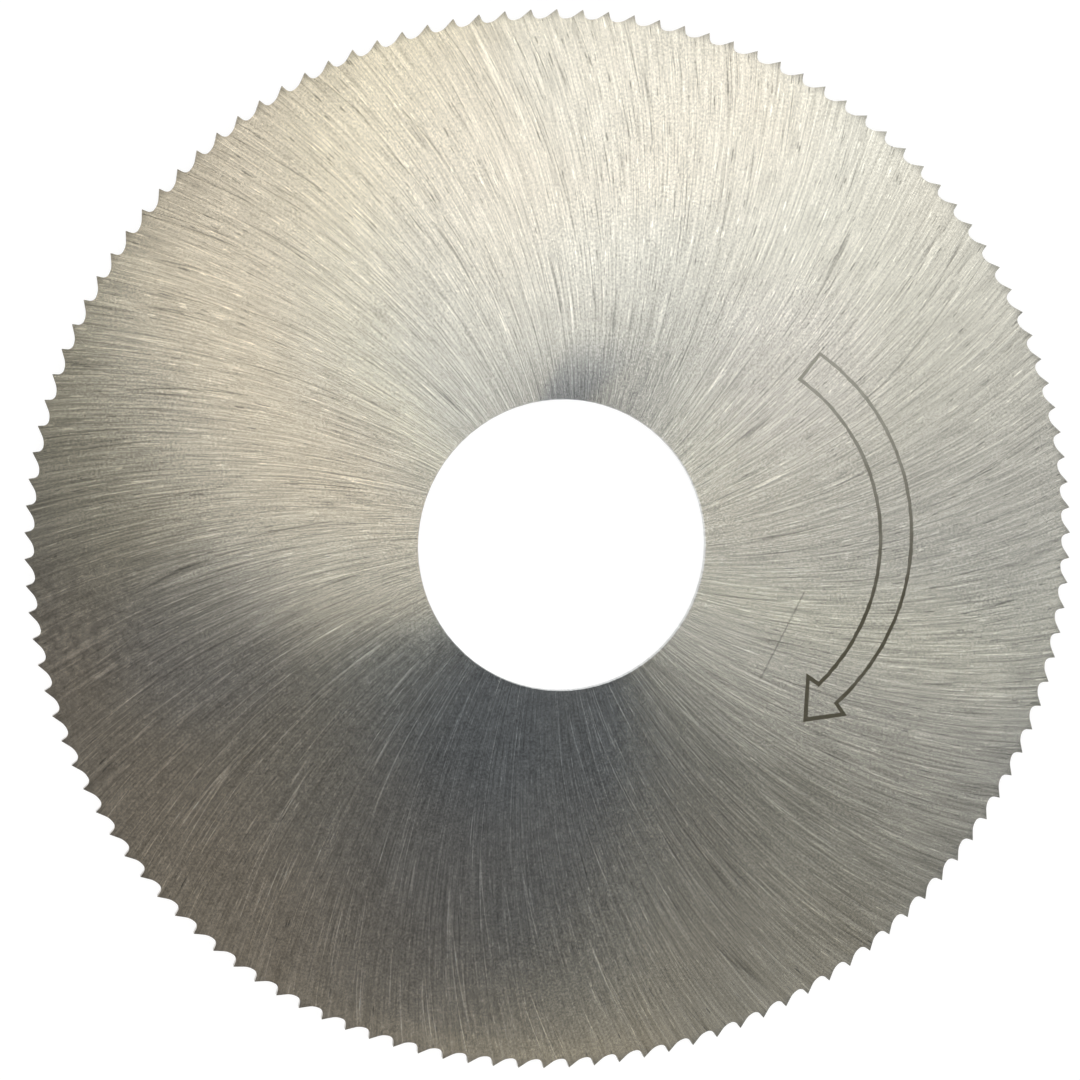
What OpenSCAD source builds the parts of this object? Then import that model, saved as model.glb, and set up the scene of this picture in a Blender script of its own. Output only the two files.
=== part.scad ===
// Slitting saw: a thin hardened steel disc with a plain arbor bore, side faces ground
// hollow between rim and hub, and fine saw teeth all round the rim.
// The blade lies flat. The bore axis is +Z, the underside of the rim is on z = 0,
// and one tooth tip is on +X. Seen from above the teeth cut clockwise.

/* [Blade] */

// Diameter over the tooth tips, mm
outer_diameter = 80; // [63:1:100]
// Thickness at the toothed rim, mm
rim_thickness = 0.7; // [0.5:0.1:2]
// Diameter of the arbor bore, mm
bore_diameter = 22; // [13:1:27]
// Edge break at both ends of the bore, mm
bore_edge_break = 0.05; // [0.02:0.01:0.1]

/* [Teeth] */

// Number of teeth
tooth_count = 128; // [80:4:160]
// Depth from tooth tip to root, mm
tooth_depth = 0.7; // [0.5:0.05:0.9]
// Lean of the cutting face, its foot ahead of its tip, degrees
face_lean = 17; // [5:1:25]
// Radius at the foot of the cutting face, mm
foot_radius = 0.45; // [0.25:0.05:0.6]
// Straight length of the tooth back behind the tip, mm
back_length = 0.75; // [0.5:0.05:1]

/* [Side relief] */

// Depth ground off each side between rim and hub, mm
side_relief = 0.05; // [0.02:0.01:0.1]
// Width of the full-thickness land inside the tooth roots, mm
rim_land = 1.5; // [0.5:0.5:4]
// Diameter of the flat clamping hub, mm
hub_diameter = 34; // [30:1:45]

/* [Hidden] */

// Radii of the main circles
tip_radius = outer_diameter / 2;
root_radius = tip_radius - tooth_depth;
bore_radius = bore_diameter / 2;
hub_radius = hub_diameter / 2;

// Heights of the two clamping faces
hub_low = side_relief;
hub_high = rim_thickness - side_relief;

// Slope of the hollow-ground sides
land_radius = root_radius - rim_land;
relief_slope = side_relief / (land_radius - hub_radius);

// Stock outside the tips before the gullets are cut, and how far each cut runs past the blade
stock = 0.05;
clear = 1;
relief_reach = tip_radius + clear;
relief_end = relief_slope * (relief_reach - hub_radius);
break_reach = bore_edge_break + side_relief + clear;

// How far a straight side runs into the arc that it blends with
seam = 0.0005;

// Smoothness of the turned shapes and of the two gullet arcs
turned_facets = 180;
gullet_facets = 48;

// Colour of the ground steel
steel_colour = [0.66, 0.65, 0.61];

// Points of a gullet are measured from its tooth tip: x outward, y against the cut.
pitch_angle = 360 / tooth_count;
axis = [-tip_radius, 0];
face_down = [-cos(face_lean), -sin(face_lean)];
face_out = [sin(face_lean), -cos(face_lean)];

// The foot arc touches the cutting face and the root circle.
foot_start = foot_radius * face_out;
foot_from = foot_start - axis;
foot_along = foot_from * face_down;
foot_reach = root_radius + foot_radius;
face_length = -foot_along - sqrt(foot_along * foot_along - foot_from * foot_from + foot_reach * foot_reach);
foot_centre = foot_start + face_length * face_down;
face_foot = face_length * face_down;

// The back arc goes on from the lowest point and ends at the straight back of the tooth ahead.
out = (foot_centre - axis) / norm(foot_centre - axis);
ahead = [out.y, -out.x];
lowest = axis + root_radius * out;
tip_ahead = axis + tip_radius * [cos(pitch_angle), -sin(pitch_angle)];
rise = tip_ahead - lowest;
back_radius = (rise * rise - back_length * back_length) / (2 * rise * out);
back_centre = lowest + back_radius * out;
span = tip_ahead - back_centre;
turn = acos(back_radius / norm(span));
to_tip = span / norm(span);
back_foot = back_centre + back_radius * [
    to_tip.x * cos(turn) + to_tip.y * sin(turn),
    to_tip.y * cos(turn) - to_tip.x * sin(turn)
];
back_up = (tip_ahead - back_foot) / back_length;
back_in = (back_centre - back_foot) / back_radius;
mouth_middle = axis + (tip_radius + clear) * [cos(pitch_angle / 2), -sin(pitch_angle / 2)];

// One gullet: the foot arc, the back arc, and the open mouth between two tips
module gullet() {
    translate(foot_centre - seam * out)
        circle(r = foot_radius, $fn = gullet_facets);
    intersection() {
        translate(back_centre)
            circle(r = back_radius, $fn = gullet_facets);
        polygon([
            lowest - clear * out,
            back_centre + (back_radius + clear) * out,
            back_centre + (back_radius + clear) * (out + ahead),
            lowest - clear * out + (back_radius + clear) * ahead
        ]);
    }
    polygon([
        -clear * face_down,
        face_foot + seam * face_out,
        foot_centre,
        back_foot + seam * back_in,
        tip_ahead + clear * back_up,
        mouth_middle
    ]);
}

module toothed_outline() {
    difference() {
        circle(r = tip_radius + stock, $fn = turned_facets);
        for (i = [0 : tooth_count - 1])
            rotate(i * pitch_angle)
                translate(-axis)
                    gullet();
    }
}

// Bore with a small edge break where it meets each clamping face
module bore_cut() {
    rotate_extrude($fn = turned_facets)
        polygon([
            [0, hub_low + bore_edge_break - break_reach],
            [bore_radius + break_reach, hub_low + bore_edge_break - break_reach],
            [bore_radius, hub_low + bore_edge_break],
            [bore_radius, hub_high - bore_edge_break],
            [bore_radius + break_reach, hub_high - bore_edge_break + break_reach],
            [0, hub_high - bore_edge_break + break_reach]
        ]);
}

// What the grinding takes off the upper side: a flat hub and a shallow cone up to the rim
module relief_cut() {
    rotate_extrude($fn = turned_facets)
        polygon([
            [0, hub_high],
            [hub_radius, hub_high],
            [relief_reach, hub_high + relief_end],
            [relief_reach, rim_thickness + clear],
            [0, rim_thickness + clear]
        ]);
}

module saw_blade() {
    color(steel_colour)
        difference() {
            linear_extrude(height = rim_thickness)
                toothed_outline();
            bore_cut();
            relief_cut();
            translate([0, 0, rim_thickness])
                mirror([0, 0, 1])
                    relief_cut();
        }
}

saw_blade();
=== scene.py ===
import math
import random
from collections import namedtuple

import bmesh
import bpy
from mathutils import Matrix, Vector


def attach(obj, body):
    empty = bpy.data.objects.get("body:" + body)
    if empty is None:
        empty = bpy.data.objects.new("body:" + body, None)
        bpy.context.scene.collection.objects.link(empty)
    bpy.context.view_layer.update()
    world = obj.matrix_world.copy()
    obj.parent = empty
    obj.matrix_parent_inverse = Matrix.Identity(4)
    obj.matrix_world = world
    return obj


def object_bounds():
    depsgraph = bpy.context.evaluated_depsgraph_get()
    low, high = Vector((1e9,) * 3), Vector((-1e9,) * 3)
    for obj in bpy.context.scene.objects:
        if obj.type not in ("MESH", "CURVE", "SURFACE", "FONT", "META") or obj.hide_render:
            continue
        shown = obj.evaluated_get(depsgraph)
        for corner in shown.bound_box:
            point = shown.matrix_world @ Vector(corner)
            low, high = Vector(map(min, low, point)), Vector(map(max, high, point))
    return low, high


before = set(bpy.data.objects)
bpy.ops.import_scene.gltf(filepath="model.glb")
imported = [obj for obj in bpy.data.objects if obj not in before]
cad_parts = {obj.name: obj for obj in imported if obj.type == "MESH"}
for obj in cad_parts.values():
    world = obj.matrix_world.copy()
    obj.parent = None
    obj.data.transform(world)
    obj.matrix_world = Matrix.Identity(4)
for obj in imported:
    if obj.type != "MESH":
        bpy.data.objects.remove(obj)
cad_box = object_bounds()
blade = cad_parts["saw_blade"]

# Lengths below are in mm and angles in degrees, from +X, unless a comment says otherwise.
MM = 0.001
# The blade's own frame has a tooth tip on +X. The arrow, the cross scratch, the panels and the camera are
# placed in the photograph's frame, and turned by this to fit.
BLADE_TURN = -0.686
TURN = Matrix.Rotation(math.radians(BLADE_TURN), 3, "Z")

# Upper face of the blade: a flat hub, then a shallow cone up to the full-thickness land inside the teeth
TIP_RADIUS = cad_box[1][0] / MM
RIM_HEIGHT = cad_box[1][2] / MM
HUB_RADIUS = 17.0
HUB_HEIGHT = 0.65
LAND_RADIUS = 37.8

# Grinding: its arcs all run through the bore axis, and stray scratches follow tighter arcs
GRIND_RADIUS = 60.0
STRAY_RADIUS = 48.0
ROUGHNESS = 0.207
ANISOTROPY = 1.0
RELIEF = 0.006
# The noise that breaks up scratches is read this far from the noise that draws them
BREAK_SHIFT = 400.0

# Where a mark starts and where it is full: radii, distances, cosines of the angle to its side, or levels of
# its noise. A side is named at the bore axis, and a twist turns it back by so much per mm outwards.
SCRATCH_LEVELS = (0.036, 0.0)
BRIGHT_LEVELS = (0.52, 0.64)
STRAY_LEVELS = (0.55, 0.66)
NICK_LEVELS = (0.82, 0.88)
FLECK_LEVELS = (0.19, 0.13)
CLOUD_LEVELS = (0.3, 0.7)
TINT_LEVELS = (0.2, 0.6)
BOLD_RADII = (34.0, 13.0)
# the painted glints on the bright scratches weaken between these radii
PAINTED_GLINT_RADII = (15.0, 30.0)
EDGE_RADII = (39.1, TIP_RADIUS)
CROSS_SCRATCH = ((19.2, -3.0), (14.8, -11.5))
CROSS_WIDTH = (0.10, 0.02)
CROSS_HEAD = (-0.5, 1.5)
CROSS_TAIL = (0.5, -2.0)
# A sector of mottled stain and painted shade towards the lower left: there the grinding lines are painted
# fainter, as in shade, and stray scratches are painted as glints
SHADE_AND_STAIN_SIDE = 263.0
SHADE_AND_STAIN_TWIST = 0.84
SHADE_AND_STAIN_COSINES = (0.58, 0.82)
BLOTCH = (-35.5, -4.5, 0.0)
BLOTCH_REACH = (6.5, 3.0)
BLOOM_SIDE = 218.0
BLOOM_COSINES = (0.72, 0.96)
BLOOM_RADII = (23.0, 37.0)
# A dark reflection painted into the steel's colour beside the bore, above it
DARK_REFLECTION_SIDE = 121.0
DARK_REFLECTION_TWIST = 2.9
DARK_REFLECTION_COSINES = (0.975, 0.999)
DARK_REFLECTION_RADII = (17.0, 11.5)
BLUE_RADII = (25.0, 14.0)
BLUE_PATCHES = ((18.0, 13.0, 0.0), (-27.0, -6.0, 0.0))
BLUE_REACH = (10.0, 3.0)

# How much lighter or darker a mark makes the steel. Pairs go from clean to the sector of stain and painted
# shade, outwards, or up a noise.
STREAK_TONE = 0.38
SHORT_TONE = 0.32
BOLD_TONE = 0.20
CLOUD_TONE = 0.03
GRAIN_TONES = (0.66, 0.85)
GRAIN_PATCHES = (1.1, 0.7)
MOTTLE_TONE = 0.66
# stray scratches: dark where clean, painted bright as glints in the sector of stain and painted shade
STRAY_TONES = (-0.36, 0.55)
# painted glints on the bright scratches, from the inner radius to the outer
PAINTED_GLINT_TONES = (0.36, 0.27)
FLECK_TONE = 0.4
NICK_TONE = -0.45
CROSS_TONE = -0.28
EDGE_TONE = -0.30
# The share of the grinding lines that is left in the sector of stain and painted shade and in the blotch,
# and how strongly the blotch is mottled
LINES_IN_SHADE_AND_STAIN = (1.0, 0.64)
BLOTCH_GAIN = 1.1

# Heights of the marks, as shares of RELIEF, and what they add to the roughness
SHORT_RELIEF = 0.45
BOLD_RELIEF = 0.55
GRAIN_RELIEFS = (0.06, 0.10)
BRIGHT_RELIEF = 0.4
STRAY_RELIEF = -0.5
NICK_RELIEF = -0.5
STREAK_ROUGHNESS = 0.03
CLOUD_ROUGHNESS = 0.01
EDGE_ROUGHNESS = 0.05

# Colours of the steel. It is warm where x less r, swung by a noise, is low, and neutral where that is high.
NEUTRAL_RANGE = (-52.0, -6.0)
TINT_SWING = 24.0
TINT_SHIFT = (40.0, 13.0, 0.0)
BLOOM_PATCHES = (0.6, 1.0)
BLUE_SHARE = 0.6
WARM_STEEL = (0.592, 0.565, 0.523, 1.0)
NEUTRAL_STEEL = (0.558, 0.561, 0.548, 1.0)
BROWN_STEEL = (0.600, 0.546, 0.488, 1.0)
BLUE_STEEL = (0.540, 0.557, 0.558, 1.0)
LILAC_STEEL = (0.562, 0.556, 0.572, 1.0)
# colour of the painted dark reflection beside the bore
DARK_REFLECTION_STEEL = (0.430, 0.445, 0.465, 1.0)

# Rotation arrow: two arcs (centre, radius, first and last angle) and the corners of the head between them
ARROW_OUTER = ((10.33, 0.40), 16.91, 55.7, -49.4)
ARROW_INNER = ((9.77, 0.08), 15.01, -47.3, 55.4)
ARROW_HEAD = ((21.98, -13.33), (18.92, -13.66), (19.10, -10.33))
ARC_STEPS = 72
MARK_LIFT = 0.002
# Half the width of the arrow's line on the X axis, its gain per mm towards -Y, how ragged its sides are,
# and the least cosine used at a corner, which keeps sharp corners short
MARK_HALF_WIDTH = 0.140
MARK_GAIN = 0.0008
MARK_RAGGED = (0.82, 1.18)
LEAST_MITRE = 0.45
RAGGED_SEED = 4
# The arrow is light at the first of these places along Y and dark at the second
MARK_DARKENING_Y = (13.0, -5.5)
MARK_DARKENING_PATCHES = 0.25
DARK_MARK = ((0.066, 0.061, 0.044, 1.0), (0.160, 0.148, 0.106, 1.0))
LIGHT_MARK = ((0.38, 0.37, 0.33, 1.0), (0.56, 0.55, 0.50, 1.0))
MARK_METAL = 0.55
MARK_ROUGHNESS = (0.40, 0.65)
MARK_RELIEF = 0.01
MARK_RELIEF_STRENGTH = 0.6

# Floor: half its width in m, how far it lies below the blade, and the share that is white where it is seen
FLOOR_HALF = 6.0
FLOOR_DROP = 0.02
FLOOR_COLOUR = (0.95, 0.95, 0.95, 1.0)
WHITE = (1.0, 1.0, 1.0, 1.0)
WHITE_STRENGTH = 1.15
WHITE_SHARE = 0.78

# Studio: a room, dim overhead, with panels that have soft edges. A place is the horizontal part of the unit
# direction towards a panel, and a half size is measured in the same way.
Panel = namedtuple("Panel", "place half_size turn softness colour")
PANELS = {
    "window": Panel((0.20, 0.055), (0.165, 0.075), 5, 0.13, (1.35, 1.31, 1.18)),
    "window_sill": Panel((0.16, 0.005), (0.09, 0.02), 5, 0.40, (0.30, 0.29, 0.26)),
    "window_west": Panel((0.015, 0.225), (0.075, 0.105), -33, 0.75, (0.70, 0.68, 0.50)),
    "window_top": Panel((0.15, 0.245), (0.055, 0.195), -9, 0.33, (0.52, 0.43, 0.27)),
    "window_east": Panel((0.30, 0.265), (0.035, 0.095), -10, 0.45, (1.25, 1.21, 0.74)),
    "south": Panel((0.165, -0.31), (0.15, 0.065), 12, 0.52, (0.36, 0.31, 0.20)),
    "south_west": Panel((-0.035, -0.31), (0.035, 0.06), 3, 0.32, (0.80, 0.72, 0.50)),
    "north_east": Panel((0.60, 0.37), (0.18, 0.15), 52, 0.56, (0.62, 0.61, 0.47)),
    "west": Panel((-0.80, -0.29), (0.15, 0.14), 47, 0.56, (0.50, 0.44, 0.31)),
}
# Brightness of the room from overhead (0) to the horizon (1), and how bluish it is overhead
ROOM = ((0.0, 0.03), (0.35, 0.05), (0.55, 0.20), (0.75, 0.42), (0.9, 0.52), (1.0, 0.55))
ROOM_BLUE = 0.08
LIGHT = 1.78

# Camera: place over the rim's height, tilt about X and Y, and lens
CAMERA_PLACE = (-39.915, 17.341, 219.066)
CAMERA_TILT = (-4.346, -9.877)
CAMERA_LENS = 98.82
CAMERA_SENSOR = 36.0
CAMERA_CLIP = (5.0, 50000.0)


def turned(point):
    """A place in the photograph's frame, turned to the blade's own."""
    return (TURN @ Vector((*point, 0.0))).to_2d()


# Node helpers
class Nodes:
    """A node tree that is being built. Inputs are values or outputs of other nodes."""

    def __init__(self, owner):
        owner.use_nodes = True
        self.tree = owner.node_tree
        self.tree.nodes.clear()

    def put(self, socket, value):
        if isinstance(value, bpy.types.NodeSocket):
            self.tree.links.new(value, socket)
        else:
            socket.default_value = value

    def add(self, kind, inputs=None, **settings):
        node = self.tree.nodes.new(kind)
        for name, value in settings.items():
            setattr(node, name, value)
        for key, value in (inputs or {}).items():
            self.put(node.inputs[key], value)
        return node

    def math(self, operation, *values, clamp=False):
        node = self.add("ShaderNodeMath", dict(enumerate(values)), operation=operation, use_clamp=clamp)
        return node.outputs[0]

    def vector_math(self, operation, *values, output="Vector"):
        node = self.add("ShaderNodeVectorMath", dict(enumerate(values)), operation=operation)
        return node.outputs[output]

    def total(self, *values):
        out = values[0]
        for value in values[1:]:
            out = self.math("ADD", out, value)
        return out

    def product(self, *values):
        out = values[0]
        for value in values[1:]:
            out = self.math("MULTIPLY", out, value)
        return out

    def span(self, value, low, high, to_low=0.0, to_high=1.0, smooth=True):
        """The value, carried from low..high over to to_low..to_high and held beyond them."""
        limits = {"Value": value, "From Min": low, "From Max": high, "To Min": to_low, "To Max": to_high}
        kind = "SMOOTHSTEP" if smooth else "LINEAR"
        return self.add("ShaderNodeMapRange", limits, interpolation_type=kind).outputs["Result"]

    def centred(self, value, swing):
        """A noise of 0 to 1 as a swing to both sides of zero."""
        return self.math("MULTIPLY_ADD", value, 2.0 * swing, -swing)

    def vector(self, x, y, z):
        return self.add("ShaderNodeCombineXYZ", {"X": x, "Y": y, "Z": z}).outputs[0]

    def noise(self, place, scale, detail=2.0, roughness=0.5):
        inputs = {"Vector": place, "Scale": scale, "Detail": detail, "Roughness": roughness}
        return self.add("ShaderNodeTexNoise", inputs, noise_dimensions="2D").outputs["Fac"]

    def mix(self, factor, first, second, blend="MIX"):
        inputs = {"Factor": factor, "A": first, "B": second}
        return self.add("ShaderNodeMix", inputs, data_type="RGBA", blend_type=blend).outputs["Result"]


class FaceNodes(Nodes):
    """Nodes of a material on the blade: mm is the place of the shaded point, and x and y are its parts."""

    def __init__(self, owner):
        super().__init__(owner)
        place = self.add("ShaderNodeTexCoord").outputs["Object"]
        self.mm = self.vector_math("MULTIPLY", place, (1 / MM, 1 / MM, 1 / MM))
        parts = self.add("ShaderNodeSeparateXYZ", {0: self.mm}).outputs
        self.x = parts["X"]
        self.y = parts["Y"]


class GroundNodes(FaceNodes):
    """Nodes of ground steel: r is the distance from the bore axis, start and stray are angles of arcs."""

    def __init__(self, owner):
        super().__init__(owner)
        self.r = self.math("SQRT", self.total(self.product(self.x, self.x), self.product(self.y, self.y)))
        self.start = self.arc_start(GRIND_RADIUS)
        self.stray = self.arc_start(STRAY_RADIUS)

    def leaning_spoke(self, double_radius):
        """Direction of the spoke, turned by the angle whose sine is r over the double radius of an arc."""
        east = self.math("DIVIDE", self.x, self.r)
        north = self.math("DIVIDE", self.y, self.r)
        sine = self.math("DIVIDE", self.r, double_radius)
        cosine = self.math("SQRT", self.math("SUBTRACT", 1.0, self.product(sine, sine)))
        return (self.math("SUBTRACT", self.product(east, cosine), self.product(north, sine)),
                self.total(self.product(north, cosine), self.product(east, sine)))

    def arc_start(self, radius):
        """Angle at which the arc through the point leaves the bore axis."""
        east, north = self.leaning_spoke(-2.0 * radius)
        return self.math("ARCTAN2", north, east)

    def across_arc(self, radius):
        """Direction across the arc at the point."""
        east, north = self.leaning_spoke(2.0 * radius)
        return self.vector(self.product(north, -1.0), east, 0.0)

    def lines(self, start, across, along, shift, detail, roughness=0.6):
        """Noise drawn out along the arcs, in cells per radian across them and per mm along them."""
        round_axis = self.math("MULTIPLY_ADD", start, across, shift)
        place = self.vector(round_axis, self.product(self.r, along), 0.0)
        return self.noise(place, 1.0, detail, roughness)

    def broken_lines(self, start, across, breaks, shift, levels):
        """Thin lines along the arcs where a noise crosses its middle, broken up along their length."""
        contour = self.lines(start, across, along=0.03, shift=shift, detail=0.0)
        off = self.math("ABSOLUTE", self.math("SUBTRACT", contour, 0.5))
        kept = self.lines(start, breaks, along=0.10, shift=shift + BREAK_SHIFT, detail=1.0)
        return self.product(self.span(off, *SCRATCH_LEVELS), self.span(kept, *levels))

    def towards(self, side, twist=0.0):
        """Cosine of the angle between the spoke and a side that turns back by the twist per mm outwards."""
        spoke = self.math("ARCTAN2", self.y, self.x)
        back = self.product(self.r, math.radians(twist))
        return self.math("COSINE", self.total(spoke, back, -math.radians(side)))

    def gap(self, place):
        """Distance from a place on the face."""
        return self.vector_math("DISTANCE", self.vector(self.x, self.y, 0.0), place, output="Value")


# Steel
def grinding(n):
    bold = n.centred(n.lines(n.start, across=70.0, along=0.07, shift=300.0, detail=1.0), 1.0)
    return {
        "streak": n.lines(n.start, across=150.0, along=0.09, shift=500.0, detail=2.0, roughness=0.65),
        "short": n.lines(n.start, across=230.0, along=0.30, shift=900.0, detail=1.0),
        # bolder lines that die out away from the bore
        "bold": n.product(n.span(n.r, *BOLD_RADII), bold),
    }


def cross_scratch(n):
    """The one scratch that runs across the grinding."""
    first, last = (turned(end) for end in CROSS_SCRATCH)
    length = (last - first).length
    run = (last - first).normalized()
    from_x = n.math("SUBTRACT", n.x, first.x)
    from_y = n.math("SUBTRACT", n.y, first.y)
    far = n.total(n.product(from_x, run.x), n.product(from_y, run.y))
    off = n.math("ABSOLUTE", n.math("SUBTRACT", n.product(from_y, run.x), n.product(from_x, run.y)))
    # both ends fade
    head = n.span(far, *CROSS_HEAD)
    tail = n.span(n.math("SUBTRACT", far, length), *CROSS_TAIL)
    return n.product(n.span(off, *CROSS_WIDTH), head, tail)


def scratches(n):
    spots = n.lines(n.start, across=200.0, along=0.70, shift=2900.0, detail=0.0)
    return {
        # bright: thin scratches with some real relief, painted bright as glints
        "bright": n.broken_lines(n.start, across=46.0, breaks=27.0, shift=1300.0, levels=BRIGHT_LEVELS),
        "stray": n.broken_lines(n.stray, across=44.0, breaks=23.0, shift=2100.0, levels=STRAY_LEVELS),
        "cross": cross_scratch(n),
        "nick": n.span(spots, *NICK_LEVELS),
        "fleck": n.span(spots, *FLECK_LEVELS),
    }


def wear(n):
    cloud = n.noise(n.mm, scale=0.075, detail=2.0, roughness=0.5)
    # the grain shows more in some patches
    grain = n.math("SUBTRACT", n.noise(n.mm, scale=5.5, detail=1.0, roughness=0.6), 0.5)
    grain = n.product(grain, n.span(cloud, *CLOUD_LEVELS, *GRAIN_PATCHES))
    # sector of mottled stain and painted shade
    shade_and_stain = n.span(n.towards(SHADE_AND_STAIN_SIDE, SHADE_AND_STAIN_TWIST), *SHADE_AND_STAIN_COSINES)
    blotch = n.span(n.gap(BLOTCH), *BLOTCH_REACH)
    mottle = n.math("SUBTRACT", n.noise(n.mm, scale=1.3, detail=3.0, roughness=0.7), 0.5)
    return {
        "cloud": cloud,
        "grain": grain,
        "shade_and_stain": shade_and_stain,
        "mottle": n.product(mottle, n.total(shade_and_stain, n.product(blotch, BLOTCH_GAIN))),
        # how much of the grinding lines is left: painted shade fades them in the sector, and they fade in
        # the blotch too
        "lined": n.span(n.math("MAXIMUM", shade_and_stain, blotch), 0.0, 1.0, *LINES_IN_SHADE_AND_STAIN, smooth=False),
        # the toothed edge
        "edge": n.span(n.total(n.r, grain), *EDGE_RADII),
    }


def steel_tone(n, marks):
    """Brightness that the marks give the steel, about 1."""
    lines = n.total(n.centred(marks["streak"], STREAK_TONE), n.centred(marks["short"], SHORT_TONE),
                    n.product(marks["bold"], BOLD_TONE))
    # stray scratches are dark, and are painted bright as glints in the sector of stain and painted shade
    stray_tone = n.span(marks["shade_and_stain"], 0.0, 1.0, *STRAY_TONES, smooth=False)
    tone = n.total(1.0, n.product(marks["lined"], lines),
                   n.product(marks["grain"], n.span(marks["shade_and_stain"], 0.0, 1.0, *GRAIN_TONES)),
                   n.centred(marks["cloud"], CLOUD_TONE), n.product(marks["mottle"], MOTTLE_TONE),
                   n.product(marks["stray"], stray_tone),
                   # bright scratches: painted glints
                   n.product(marks["bright"], n.span(n.r, *PAINTED_GLINT_RADII, *PAINTED_GLINT_TONES)),
                   n.product(marks["fleck"], FLECK_TONE), n.product(marks["nick"], NICK_TONE),
                   n.product(marks["cross"], CROSS_TONE))
    return n.product(tone, n.math("MULTIPLY_ADD", marks["edge"], EDGE_TONE, 1.0))


def steel_tint(n, shade_and_stain):
    """Colour of the steel, before the tone."""
    tint = n.noise(n.vector_math("ADD", n.mm, TINT_SHIFT), scale=0.06, detail=1.0)
    # warmer towards -X and the rim
    neutral = n.span(n.total(n.x, n.product(n.r, -1.0), n.centred(tint, TINT_SWING)), *NEUTRAL_RANGE)
    colour = n.mix(neutral, WARM_STEEL, NEUTRAL_STEEL)
    # brown bloom on one stretch of the outer face
    bloom = n.product(n.span(n.towards(BLOOM_SIDE), *BLOOM_COSINES), n.span(n.r, *BLOOM_RADII),
                      n.span(tint, *TINT_LEVELS, *BLOOM_PATCHES))
    colour = n.mix(bloom, colour, BROWN_STEEL)
    # bluish beside the bore in the sector of stain and painted shade, and in two patches
    colour = n.mix(n.product(shade_and_stain, n.span(n.r, *BLUE_RADII)), colour, BLUE_STEEL)
    for place in BLUE_PATCHES:
        colour = n.mix(n.span(n.gap(place), *BLUE_REACH, 0.0, BLUE_SHARE), colour, LILAC_STEEL)
    # painted dark reflection at the edge of the bore, above it
    painted_dark_reflection = n.product(n.span(n.towards(DARK_REFLECTION_SIDE, DARK_REFLECTION_TWIST), *DARK_REFLECTION_COSINES),
                       n.span(n.r, *DARK_REFLECTION_RADII))
    return n.mix(painted_dark_reflection, colour, DARK_REFLECTION_STEEL)


def steel_relief(n, marks):
    """Height of the marks, as a share of RELIEF."""
    lines = n.total(marks["streak"], n.product(marks["short"], SHORT_RELIEF),
                    n.product(marks["bold"], BOLD_RELIEF))
    grain = n.product(marks["grain"], n.span(marks["shade_and_stain"], 0.0, 1.0, *GRAIN_RELIEFS))
    return n.total(n.product(marks["lined"], lines), grain, n.product(marks["bright"], BRIGHT_RELIEF),
                   n.product(marks["stray"], STRAY_RELIEF), n.product(marks["nick"], NICK_RELIEF))


def ground_steel():
    mat = bpy.data.materials.new("ground_steel")
    n = GroundNodes(mat)
    marks = grinding(n) | scratches(n) | wear(n)
    tone = steel_tone(n, marks)
    grey = n.add("ShaderNodeCombineColor", {"Red": tone, "Green": tone, "Blue": tone}).outputs[0]
    colour = n.mix(1.0, steel_tint(n, marks["shade_and_stain"]), grey, "MULTIPLY")
    rough = n.total(ROUGHNESS, n.centred(marks["streak"], STREAK_ROUGHNESS),
                    n.centred(marks["cloud"], CLOUD_ROUGHNESS), n.product(marks["edge"], EDGE_ROUGHNESS))
    bump = n.add("ShaderNodeBump", {"Strength": 1.0, "Distance": RELIEF * MM,
                                    "Height": steel_relief(n, marks)})
    shader = n.add("ShaderNodeBsdfPrincipled", {"Base Color": colour, "Metallic": 1.0, "Roughness": rough,
                                                "Anisotropic": ANISOTROPY,
                                                "Tangent": n.across_arc(GRIND_RADIUS),
                                                "Normal": bump.outputs[0]})
    n.add("ShaderNodeOutputMaterial", {"Surface": shader.outputs[0]})
    return mat


blade.data.materials.clear()
blade.data.materials.append(ground_steel())


# Rotation arrow
def etched_mark():
    mat = bpy.data.materials.new("etched_mark")
    n = FaceNodes(mat)
    burn = n.noise(n.mm, scale=6.0, detail=3.0, roughness=0.6)
    patches = n.noise(n.mm, scale=0.7, detail=2.0)
    # the mark is lighter towards its tail
    darkening = n.math("ADD", n.span(n.y, *MARK_DARKENING_Y, smooth=False), n.centred(patches, MARK_DARKENING_PATCHES), clamp=True)
    colour = n.mix(darkening, n.mix(burn, *LIGHT_MARK), n.mix(burn, *DARK_MARK))
    rough = n.span(burn, 0.0, 1.0, *MARK_ROUGHNESS, smooth=False)
    bump = n.add("ShaderNodeBump", {"Strength": MARK_RELIEF_STRENGTH, "Distance": MARK_RELIEF * MM,
                                    "Height": burn})
    shader = n.add("ShaderNodeBsdfPrincipled", {"Base Color": colour, "Metallic": MARK_METAL,
                                                "Roughness": rough, "Normal": bump.outputs[0]})
    n.add("ShaderNodeOutputMaterial", {"Surface": shader.outputs[0]})
    return mat


def arc(centre, radius, first, last):
    """Points of an arc."""
    angles = [math.radians(first + (last - first) * step / ARC_STEPS) for step in range(ARC_STEPS + 1)]
    return [(centre[0] + radius * math.cos(a), centre[1] + radius * math.sin(a)) for a in angles]


def face_height(point):
    """Height of the blade's upper face at a place."""
    share = min(max((point.length - HUB_RADIUS) / (LAND_RADIUS - HUB_RADIUS), 0.0), 1.0)
    return HUB_HEIGHT + share * (RIM_HEIGHT - HUB_HEIGHT)


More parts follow.
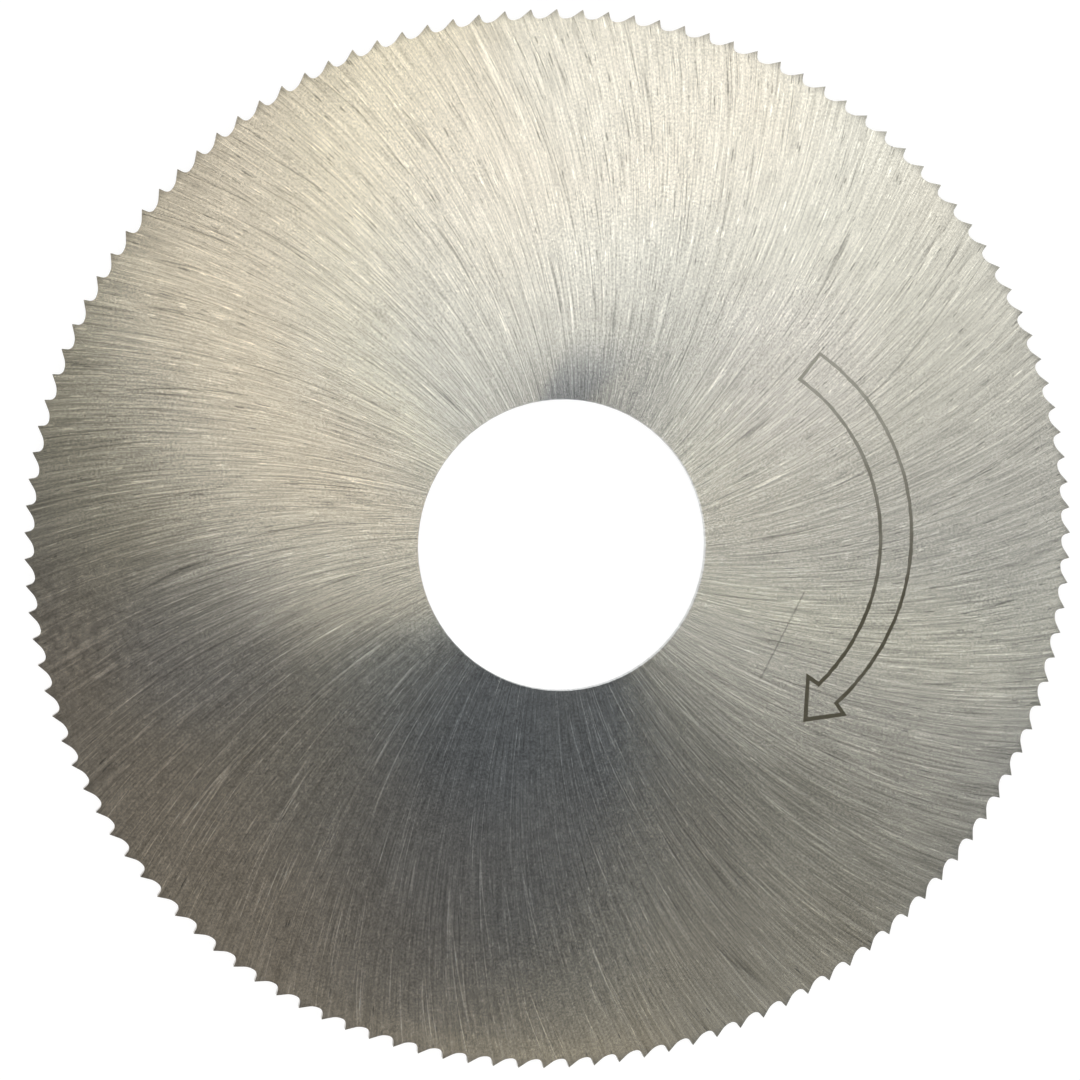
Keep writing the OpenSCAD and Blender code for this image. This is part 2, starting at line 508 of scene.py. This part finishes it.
def ribbon(name, path):
    """Closed ribbon on the face along a path, with ragged sides."""
    ragged = random.Random(RAGGED_SEED)
    mesh = bmesh.new()
    pairs = []
    for i, point in enumerate(path):
        before = (point - path[i - 1]).normalized()
        after = (path[(i + 1) % len(path)] - point).normalized()
        side = Vector((-before.y, before.x))
        mitre = (side + Vector((-after.y, after.x))).normalized()
        half = MARK_HALF_WIDTH - MARK_GAIN * point.y
        pair = []
        for sign in (1, -1):
            reach = half * ragged.uniform(*MARK_RAGGED) / max(mitre.dot(side), LEAST_MITRE)
            edge = point + mitre * reach * sign
            pair.append(mesh.verts.new(Vector((*edge, face_height(edge) + MARK_LIFT)) * MM))
        pairs.append(pair)
    for near, far in zip(pairs, pairs[1:] + pairs[:1]):
        mesh.faces.new((near[0], near[1], far[1], far[0]))
    bmesh.ops.recalc_face_normals(mesh, faces=mesh.faces)
    if mesh.faces[0].normal.z < 0:
        bmesh.ops.reverse_faces(mesh, faces=mesh.faces)
    data = bpy.data.meshes.new(name)
    mesh.to_mesh(data)
    mesh.free()
    return data


def arrow():
    path = [turned(point) for point in (*arc(*ARROW_OUTER), *ARROW_HEAD, *arc(*ARROW_INNER))]
    data = ribbon("rotation_arrow", path)
    piece = bpy.data.objects.new("rotation_arrow", data)
    bpy.context.scene.collection.objects.link(piece)
    data.materials.append(etched_mark())
    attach(piece, "root")


arrow()


# Floor
def pale_floor():
    """Matt and pale under the light, and near white where it is seen, also in the steel."""
    mat = bpy.data.materials.new("pale_floor")
    n = Nodes(mat)
    ray = n.add("ShaderNodeLightPath").outputs
    seen = n.math("MAXIMUM", n.math("MAXIMUM", ray["Is Camera Ray"], ray["Is Glossy Ray"]),
                  ray["Is Transmission Ray"])
    matt = n.add("ShaderNodeBsdfDiffuse", {"Color": FLOOR_COLOUR})
    white = n.add("ShaderNodeEmission", {"Color": WHITE, "Strength": WHITE_STRENGTH})
    both = n.add("ShaderNodeMixShader", {0: n.product(seen, WHITE_SHARE), 1: matt.outputs[0],
                                         2: white.outputs[0]})
    n.add("ShaderNodeOutputMaterial", {"Surface": both.outputs[0]})
    return mat


def floor():
    mesh = bmesh.new()
    bmesh.ops.create_grid(mesh, x_segments=1, y_segments=1, size=FLOOR_HALF)
    data = bpy.data.meshes.new("floor")
    mesh.to_mesh(data)
    mesh.free()
    data.materials.append(pale_floor())
    piece = bpy.data.objects.new("floor", data)
    piece.location = (0.0, 0.0, -FLOOR_DROP * MM)
    bpy.context.scene.collection.objects.link(piece)


floor()


# Studio
def room_light(n, flat):
    """Light of the room without its panels, which grows from overhead to the horizon."""
    ramp = n.add("ShaderNodeValToRGB", {0: n.vector_math("LENGTH", flat, output="Value")})
    stops = ramp.color_ramp.elements
    while len(stops) < len(ROOM):
        stops.new(0.5)
    for stop, (place, level) in zip(stops, ROOM):
        stop.position = place
        blue = ROOM_BLUE * (1.0 - place)
        stop.color = (level * (1.0 - blue), level, level * (1.0 + blue), 1.0)
    return ramp.outputs["Color"]


def panel_mask(n, flat, panel):
    """1 within a panel and 0 outside it. Fourth powers give it straight sides and round corners."""
    spot = n.add("ShaderNodeMapping", {"Vector": flat, "Location": (*turned(panel.place), 0.0),
                                       "Rotation": (0.0, 0.0, math.radians(panel.turn + BLADE_TURN)),
                                       "Scale": (*panel.half_size, 1.0)}, vector_type="TEXTURE").outputs[0]
    away = n.vector_math("LENGTH", n.vector_math("MULTIPLY", spot, spot), output="Value")
    return n.span(away, 1.0 + panel.softness, 1.0 - panel.softness)


def studio():
    world = bpy.data.worlds.new("studio")
    bpy.context.scene.world = world
    n = Nodes(world)
    direction = n.add("ShaderNodeTexCoord").outputs["Generated"]
    flat = n.vector_math("MULTIPLY", direction, (1.0, 1.0, 0.0))
    light = room_light(n, flat)
    for panel in PANELS.values():
        light = n.vector_math("MULTIPLY_ADD", panel_mask(n, flat, panel), panel.colour, light)
    back = n.add("ShaderNodeBackground", {"Color": light, "Strength": LIGHT})
    n.add("ShaderNodeOutputWorld", {"Surface": back.outputs[0]})


studio()


# Camera
def camera():
    data = bpy.data.cameras.new("camera")
    data.sensor_width = CAMERA_SENSOR
    data.lens = CAMERA_LENS
    data.clip_start = CAMERA_CLIP[0] * MM
    data.clip_end = CAMERA_CLIP[1] * MM
    piece = bpy.data.objects.new("camera", data)
    piece.location = TURN @ (Vector(CAMERA_PLACE) + Vector((0.0, 0.0, RIM_HEIGHT))) * MM
    piece.rotation_euler = [math.radians(angle) for angle in (*CAMERA_TILT, BLADE_TURN)]
    bpy.context.scene.collection.objects.link(piece)
    bpy.context.scene.camera = piece


camera()

bpy.context.scene.view_settings.view_transform = "Standard"
